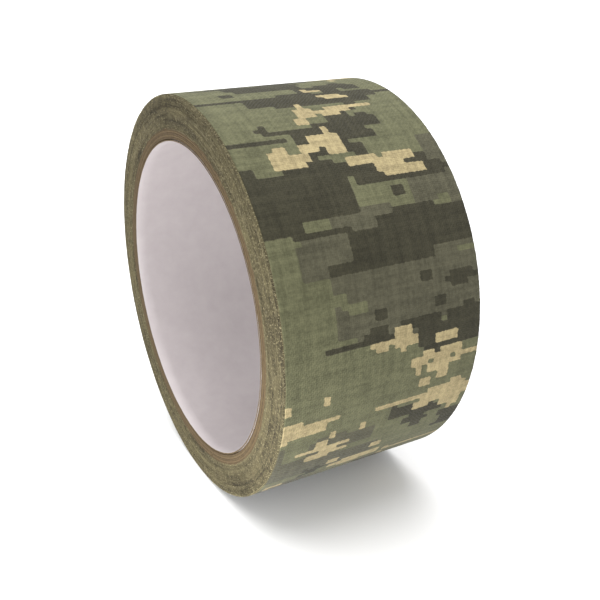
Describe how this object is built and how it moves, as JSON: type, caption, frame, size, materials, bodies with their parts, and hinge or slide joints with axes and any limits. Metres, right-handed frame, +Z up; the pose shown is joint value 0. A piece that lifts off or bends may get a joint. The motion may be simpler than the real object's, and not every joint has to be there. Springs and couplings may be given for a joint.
{
  "type": "cloth tape roll",
  "caption": "Roll of camouflage woven-cloth adhesive tape on a spirally wound paper core, with a free end that peels up.",
  "frame": {"origin": "middle of the core's bore, half way along it", "axes": "+Y runs along the bore, +Z points up as the roll stands on its rim, and +X is to the right of someone who looks along +Y"},
  "size_m": [0.0987, 0.05, 0.0985],
  "materials": {
    "core_paper": "satin",
    "core_board": "matte",
    "adhesive": "satin",
    "printed_cloth": "matte"
  },
  "bodies": {
    "roll": {"core_liner": "core_paper", "core_ply_1": "core_board", "core_ply_2": "core_board", "core_ply_3": "core_board", "core_ply_4": "core_board", "core_ply_5": "core_board", "inner_turns_adhesive": "adhesive", "inner_turns_cloth": "printed_cloth", "outer_turn_adhesive": "adhesive", "outer_turn_cloth": "printed_cloth"},
    "free_end": {"free_end_adhesive": "adhesive", "free_end_cloth": "printed_cloth"}
  },
  "joints": [
    {"name": "free_end_peel", "type": "hinge", "parent": "roll", "child": "free_end", "pos_m": [-0.04247, 0, 0.02521], "axis": [0, -1, 0], "range_deg": [0, 110]}
  ]
}
